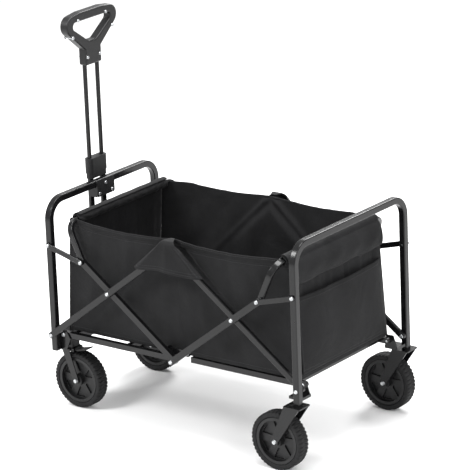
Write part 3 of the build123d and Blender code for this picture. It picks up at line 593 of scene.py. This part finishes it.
def roll_points(centre_x, way, s, t, half):
    """The end panel's top, folded out over the rim bar: s across it (-1 left, 1 right), t from inside to
    foot.

    It goes over the bar on a quarter turn and more, then falls in a fat soft roll that closes in on the
    panel
    at its foot. Its outer face carries shallow slanting folds, and its two ends droop a little."""
    over = np.clip(t / 0.36, 0, 1)
    turn = 0.72 * np.pi * (1 - over)
    fall = np.clip((t - 0.36) / 0.64, 0, 1)
    radius = 17.0 + 0.7 * np.sin(5 * np.pi * s + 1) * over
    folds = 1.2 * np.sin(2 * np.pi * (2.3 * s + 0.8 * fall)) * np.sin(np.pi * fall)
    swell = 15 * np.sin(np.pi * fall) ** 0.8 * (1 - 0.35 * np.abs(s) ** 4) + folds
    reach_out = np.where(t < 0.36, radius * np.cos(turn), radius + (27.5 - radius) * fall + swell)
    height = np.where(t < 0.36, radius * np.sin(turn), -72 * fall - 2 * np.cos(3 * np.pi * s) * fall)
    return np.stack([centre_x - way * reach_out, s * half + 0 * t, RIM_Z + height], -1)


class WAGON_OT_basket_ends(Operator):
    """Sews the front and rear ends of the basket and the tubes of cloth round the rim bars"""

    bl_idname = "wagon.basket_ends"
    bl_label = "Basket ends"

    def execute(self, context):
        sizes = context.scene.wagon_fabric
        depth = sizes.fold_depth / MM
        s, v = np.meshgrid(np.linspace(-1, 1, 141), np.linspace(0, 1, 81), indexing="ij")
        for label, hoop_x, way in (("front", FRONT_X, 1), ("rear", REAR_X, -1)):
            cloth = put_grid(f"basket_{label}_end", end_points(hoop_x, way, s, v, depth), flip=way < 0,
                             uv_size=(448, 340))
            thicken(cloth, sizes.cloth_thickness, 0.0)
            paint(cloth, "woven_polyester_cloth")
            line = np.linspace(-1, 1, 141)
            out = np.tile([-way, 0, 0.0], (141, 1))
            extras = []
            for place, height in (("rim", 0.955), ("base", 0.04), ("base_lower", 0.02)):
                row = end_points(hoop_x, way, line, np.full(141, height), depth) + out * 1.0
                extras.append(stitches(f"{label}_{place}_stitches", row, out, sizes.stitch_pitch / MM))
            for extra in extras:
                paint(extra, "bonded_sewing_thread")
            body = f"basket_{label}"
            settle(cloth, body, False, (f"{label}_panel",))
            for extra in extras:
                settle(extra, body, False)
            low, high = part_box(f"{label}_rim_sleeve")
            half = (high.y - low.y) / 2 / MM
            centre_x = (low.x + high.x) / 2 / MM
            t = np.linspace(0, 1, 151)[:, None]
            angle = np.linspace(0, 2 * np.pi, 48, endpoint=False)[None]
            gather = 0.9 * np.sin(angle * 5 + 9 * np.sin(3.3 * np.pi * t)) * (0.35 + np.abs(2 * t - 1) ** 4)
            pinch = 1.7 * np.clip(np.abs(2 * t - 1) * 12 - 11, 0, 1)
            radius = 13.6 + gather - pinch + 0.6 * wave(t, (7, 0.8, 0.3), (13, 0.6, 0.8))
            drop = 1.2 * np.maximum(0, -np.sin(angle))
            ring = np.stack([centre_x + radius * np.cos(angle), (2 * t - 1) * half + 0 * angle,
                             RIM_Z + (radius + drop) * np.sin(angle)], -1)
            sleeve = put_grid(f"{label}_rim_cloth", ring, closed_columns=True, uv_size=(416, 92))
            thicken(sleeve, sizes.cloth_thickness)
            paint(sleeve, "woven_polyester_cloth")
            settle(sleeve, f"{label}_rim_u", False, (f"{label}_rim_sleeve",))
            side, fall = np.meshgrid(np.linspace(-1, 1, 141), np.linspace(0, 1, 61), indexing="ij")
            roll = put_grid(f"{label}_rim_roll", roll_points(centre_x, way, side, fall, half - 3),
                            flip=way > 0,
                            uv_size=(410, 132))
            thicken(roll, sizes.cloth_thickness, 0.0)
            paint(roll, "woven_polyester_cloth")
            seam = roll_points(centre_x, way, line, np.full(141, 0.955), half - 3) + out * 1.0
            row = stitches(f"{label}_rim_roll_stitches", seam, out, sizes.stitch_pitch / MM)
            paint(row, "bonded_sewing_thread")
            settle(roll, body, False)
            settle(row, body, False)
        return {"FINISHED"}


class WAGON_OT_basket_floor(Operator):
    """Lays the basket's floor cloth over the rails, with the pull strap that folds the wagon"""

    bl_idname = "wagon.basket_floor"
    bl_label = "Basket floor"

    def execute(self, context):
        sizes = context.scene.wagon_fabric
        u, w = np.meshgrid(np.linspace(-1, 1, 181), np.linspace(-1, 1, 101), indexing="ij")
        x = MID_X + 407.5 * u
        y = 213 * w
        rails = np.exp(-((np.abs(y) - 82) / 26) ** 2) + np.exp(-((np.abs(y) - 214) / 26) ** 2)
        ripple = 0.7 * np.sin(9 * u + 3 * w) * np.sin(7 * w - 2 * u)
        z = 248.6 + 3.2 * rails + ripple
        cloth = put_grid("basket_floor_cloth", np.stack([x, y, z], -1), uv_size=(812, 422))
        thicken(cloth, sizes.cloth_thickness)
        paint(cloth, "woven_polyester_cloth")
        line = np.linspace(-1, 1, 161)
        up = np.tile([0, 0, 1.0], (161, 1))
        extras = []
        for k, across in enumerate((-197, -82, 82, 197)):
            row = np.stack([MID_X + 400 * line, np.full(161, across), np.full(161, 253.0)], -1)
            extras.append(stitches(f"floor_seam_{k + 1}", row, up, sizes.stitch_pitch / MM))
        for extra in extras:
            paint(extra, "bonded_sewing_thread")
        settle(cloth, "basket_middle", True, ("floor_sheet",))
        for extra in extras:
            settle(extra, "basket_middle", True)

        t = np.linspace(-1, 1, 81)
        arch = 254.6 + 20 * np.clip(1 - (t / 0.72) ** 2, 0, 1) ** 0.8
        path = np.stack([MID_X + 45 * t, 0 * t, arch], -1)
        run = np.gradient(path, axis=0)
        run /= np.linalg.norm(run, axis=1, keepdims=True)
        across = np.tile([0, -1.0, 0], (81, 1))
        strap = ribbon("floor_pull_strap", path, across, np.cross(run, across) * -1, 25, 1.6)
        paint(strap, "woven_polyester_binding")
        settle(strap, "floor_hinge", False, ("pull_strap",))
        return {"FINISHED"}


class WAGON_OT_flaps(Operator):
    """Sews the pointed flaps that cover the top pivots at the middle of each side"""

    bl_idname = "wagon.flaps"
    bl_label = "Centre flaps"

    def execute(self, context):
        sizes = context.scene.wagon_fabric
        a, b = np.meshgrid(np.linspace(0, 1, 81), np.linspace(0, 1, 61), indexing="ij")
        line = np.linspace(0, 1, 81)
        for k, (name, side) in enumerate((("left", -1), ("right", 1))):
            def flap(across, down):
                """A triangle from its point at the hem (down 0), over the pivot, to a straight lower
                edge (down 1).

                Its two slanting edges turn in round the braces, and a shallow fold runs down its
                middle."""
                half = 7 + 115 * down
                edge = np.abs(2 * across - 1)
                x = PIVOT_X + (2 * across - 1) * half
                reach = 90 + 3 * np.sin(3 * np.pi * across + 0.6) * down
                roll = np.clip(down / 0.2, 0, 1)
                fold = 3.2 * np.exp(-((across - 0.5) / 0.09) ** 2) * down
                fold = fold + 2.6 * np.sin(4 * np.pi * across + 1) * down ** 2
                wrap = 13 * np.clip((edge - 0.84) / 0.16, 0, 1) ** 1.6 * np.clip(down / 0.3, 0, 1)
                y = 238 + 37.5 * np.sin(roll * np.pi / 2) + fold - wrap
                z = FLAP_Z - 3 * roll ** 2 - reach * np.clip((down - 0.1) / 0.9, 0, 1)
                return np.stack([x, side * y, z], -1)
            cloth = put_grid(f"centre_flap_cloth_{name}", flap(a, b), flip=side < 0, uv_size=(244, 135))
            thicken(cloth, sizes.cloth_thickness, 0.0)
            paint(cloth, "woven_polyester_cloth")
            out = np.tile([0, side, 0.0], (81, 1))
            extras = []
            for place, down in (("edge", 0.93), ("edge_inner", 0.86)):
                extras.append(stitches(f"flap_{name}_{place}_stitches",
                                       flap(line, np.full(81, down)) + out * 1.0, out,
                                       sizes.stitch_pitch / MM))
            for place, across in (("front", 0.04), ("rear", 0.96)):
                extras.append(stitches(f"flap_{name}_{place}_stitches",
                                       flap(np.full(81, across), line * 0.7 + 0.25)
                                       + out * 1.0, out, sizes.stitch_pitch / MM))
            for extra in extras:
                paint(extra, "bonded_sewing_thread")
            settle(cloth, "basket_middle", True, ("centre_flaps",) if k == 0 else ())
            for extra in extras:
                settle(extra, "basket_middle", True)
        return {"FINISHED"}


class WAGON_OT_rear_pocket(Operator):
    """Sews the pocket on the rear end, with its bound mouth and side seams"""

    bl_idname = "wagon.rear_pocket"
    bl_label = "Rear pocket"

    def execute(self, context):
        sizes = context.scene.wagon_fabric
        bulge = sizes.pocket_bulge / MM
        line = np.linspace(-1, 1, 121)
        s, v = np.meshgrid(line, np.linspace(0, 1, 61), indexing="ij")

        def front(across, up):
            """The pocket's face: its sides and foot curve back to the panel, and its mouth stays open
            and slack."""
            height = POCKET_FOOT_Z + POCKET_HEIGHT * up
            panel = REAR_X - 28 - 24 * (height - 256) / 334 + 3.4
            edge = (1 - np.abs(across) ** 5) * (1 - (1 - up) ** 7)
            slack = 1.2 * np.sin(3 * np.pi * across) * up + 1.6 * np.cos(np.pi * across / 2) * up ** 3
            return np.stack([panel + edge * (9 + bulge * np.sin(np.pi * np.clip(up, 0, 1)) + slack),
                             across * POCKET_HALF,
                             height + 0 * across - 3 * up * np.cos(np.pi * across / 2)], -1)
        cloth = put_grid("rear_pocket_cloth", front(s, v), uv_size=(410, 224))
        thicken(cloth, sizes.cloth_thickness, 0.0)
        paint(cloth, "woven_polyester_cloth")
        out = np.tile([1.0, 0, 0], (121, 1))
        up = np.tile([0, 0, 1.0], (121, 1))
        mouth = front(line, np.full(121, 0.965)) + out * 0.6
        tape = ribbon("rear_pocket_mouth_tape", mouth, up, out, 16, 1.2)
        rows = [stitches("rear_pocket_mouth_stitches", front(line, np.full(121, 0.945)) + out * 1.9, out,
                         sizes.stitch_pitch / MM),
                stitches("rear_pocket_foot_stitches", front(line, np.full(121, 0.05)) + out * 1.0, out,
                         sizes.stitch_pitch / MM)]
        rise = np.linspace(0.03, 0.97, 121)
        for place, across in (("left", -0.975), ("right", 0.975)):
            rows.append(stitches(f"rear_pocket_{place}_stitches",
                                 front(np.full(121, across), rise) + out * 1.0, out,
                                 sizes.stitch_pitch / MM))
        paint(tape, "woven_polyester_binding")
        for row in rows:
            paint(row, "bonded_sewing_thread")
        settle(cloth, "basket_rear", False, ("rear_pocket",))
        for piece in [tape] + rows:
            settle(piece, "basket_rear", False)
        return {"FINISHED"}


# ---------------------------------------------------------------- wheels

def tyre_surface(name, centre, y, blocks, depth):
    """A tyre: a rounded section carried round a circle, its tread cut by grooves that slant outwards.

    The section is a rounded oblong between the bead and the crown. Where it faces out or round the
    shoulder,
    its radius is lowered in each groove by the tread's depth, with steep walls."""
    turn = np.linspace(0, 2 * np.pi, blocks * 14, endpoint=False)[:, None]
    loop = np.linspace(0, 2 * np.pi, 56, endpoint=False)[None]
    wide, tall = 20.6, 8.3
    sx = np.sign(np.cos(loop)) * np.abs(np.cos(loop)) ** 0.42
    sz = np.sign(np.sin(loop)) * np.abs(np.sin(loop)) ** 0.42
    across = wide * sx
    radius = 76.5 + tall * sz
    crown = np.clip((sz - 0.1) * 1.6, 0, 1)
    lane = np.clip(np.abs(across) / wide, 0, 1)
    phase = (turn / (2 * np.pi) * blocks + 0.32 * lane + 0.5 * (across > 0)) % 1.0
    groove = 1 / (1 + np.exp(-(np.abs(phase - 0.5) - 0.34) * 60)) * (lane > 0.16)
    middle = np.exp(-((across / 2.2) ** 2))
    cut = np.clip(groove + middle * 0.8, 0, 1) * crown
    radius = radius - depth * cut + 0 * turn
    points = np.stack([centre[0] + radius * np.cos(turn), y + across + 0 * turn,
                       centre[1] + radius * np.sin(turn)], -1)
    return put_grid(name, points, closed_rows=True, closed_columns=True)


class WAGON_OT_tyres(Operator):
    """Moulds the four treaded tyres"""

    bl_idname = "wagon.tyres"
    bl_label = "Tyres"

    def execute(self, context):
        sizes = context.scene.wagon_wheels
        for end in ("front", "rear"):
            for name in ("left", "right"):
                low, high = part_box(f"{end}_tyre_{name}")
                centre = ((low.x + high.x) / 2 / MM, (low.z + high.z) / 2 / MM)
                tyre = tyre_surface(f"{end}_tread_{name}", centre, (low.y + high.y) / 2 / MM,
                                    sizes.tread_blocks, sizes.tread_depth / MM)
                paint(tyre, "moulded_tread_rubber")
                settle(tyre, f"{end}_wheel_{name}", False, (f"{end}_tyre_{name}",))
        return {"FINISHED"}


# ---------------------------------------------------------------- stage

class WAGON_OT_stage(Operator):
    """Lays the pale studio floor, and sets the lights and the camera"""

    bl_idname = "wagon.stage"
    bl_label = "Stage"

    def execute(self, context):
        scene = context.scene
        u, v = np.meshgrid(np.linspace(-1, 1, 41), np.linspace(-1, 1, 41), indexing="ij")
        floor = put_grid("studio_floor", np.stack([9000 * u, 9000 * v, 0 * u - 0.5], -1), flip=True)
        paint(floor, "pale_studio_paint")

        world = bpy.data.worlds.new("studio")
        scene.world = world
        world.use_nodes = True
        sky = world.node_tree.nodes["Background"]
        sky.inputs["Color"].default_value = (*linear("#ffffff"), 1.0)
        sky.inputs["Strength"].default_value = 0.86
        scene.view_settings.view_transform = "Standard"

        for name, place, size, power in (
                ("key", (-1.6, -3.0, 3.4), 1.6, 150.0),
                ("fill", (3.6, -1.6, 2.4), 1.8, 80.0),
                ("back", (-1.0, 3.2, 3.2), 2.0, 130.0),
                ("top", (0.3, 0.0, 3.6), 1.8, 110.0)):
            data = bpy.data.lights.new(name, "AREA")
            data.shape = "DISK"
            data.size = size
            data.energy = power
            lamp = bpy.data.objects.new(name, data)
            lamp.location = place
            aim = Vector((0, 0, 0.35)) - Vector(place)
            lamp.rotation_euler = aim.to_track_quat("-Z", "Y").to_euler()
            scene.collection.objects.link(lamp)

        # A long lens about nine metres off the rear left corner, looking slightly down
        forward = Vector((-0.58049705, 0.75949458, -0.2935833)).normalized()
        right = Vector((0.80094675, 0.59753589, -0.03788346)).normalized()
        up = right.cross(forward).normalized()
        data = bpy.data.cameras.new("camera")
        data.sensor_width = 36.0
        data.lens = 238.0
        data.shift_x = 0.0236
        data.shift_y = -0.0936
        data.clip_end = 100.0
        camera = bpy.data.objects.new("camera", data)
        camera.matrix_world = Matrix((
            (right.x, up.x, -forward.x, 5.15809), (right.y, up.y, -forward.y, -6.71768),
            (right.z, up.z, -forward.z, 3.27285), (0, 0, 0, 1)))
        scene.collection.objects.link(camera)
        scene.camera = camera
        return {"FINISHED"}


# ---------------------------------------------------------------- panel and running

class WAGON_PT_sidebar(Panel):
    """Lists the wagon's sizes, colours and steps"""

    bl_idname = "WAGON_PT_sidebar"
    bl_label = "Folding Wagon"
    bl_space_type = "VIEW_3D"
    bl_region_type = "UI"
    bl_category = "Wagon"

    def draw(self, context):
        for group in (context.scene.wagon_fabric, context.scene.wagon_wheels,
                      context.scene.wagon_colours):
            box = self.layout.box()
            for name in group.__annotations__:
                box.prop(group, name)
        for operator in STEPS:
            self.layout.operator(operator.bl_idname)


GROUPS = (("wagon_fabric", WagonFabricSizes), ("wagon_wheels", WagonWheelSizes),
          ("wagon_colours", WagonColours))
STEPS = (WAGON_OT_finishes, WAGON_OT_basket_ends, WAGON_OT_basket_sides, WAGON_OT_basket_floor,
         WAGON_OT_flaps,
         WAGON_OT_rear_pocket, WAGON_OT_tyres, WAGON_OT_stage)


def register():
    """Registers the size groups, the steps and the panel."""
    for name, group in GROUPS:
        bpy.utils.register_class(group)
        setattr(bpy.types.Scene, name, PointerProperty(type=group))
    for operator in STEPS:
        bpy.utils.register_class(operator)
    bpy.utils.register_class(WAGON_PT_sidebar)


def unregister():
    """Takes everything out again."""
    bpy.utils.unregister_class(WAGON_PT_sidebar)
    for operator in reversed(STEPS):
        bpy.utils.unregister_class(operator)
    for name, group in reversed(GROUPS):
        delattr(bpy.types.Scene, name)
        bpy.utils.unregister_class(group)


def main():
    """Builds every piece in order."""
    register()
    for operator in STEPS:
        section, step = operator.bl_idname.split(".")
        getattr(getattr(bpy.ops, section), step)()


if __name__ == "__main__":
    main()
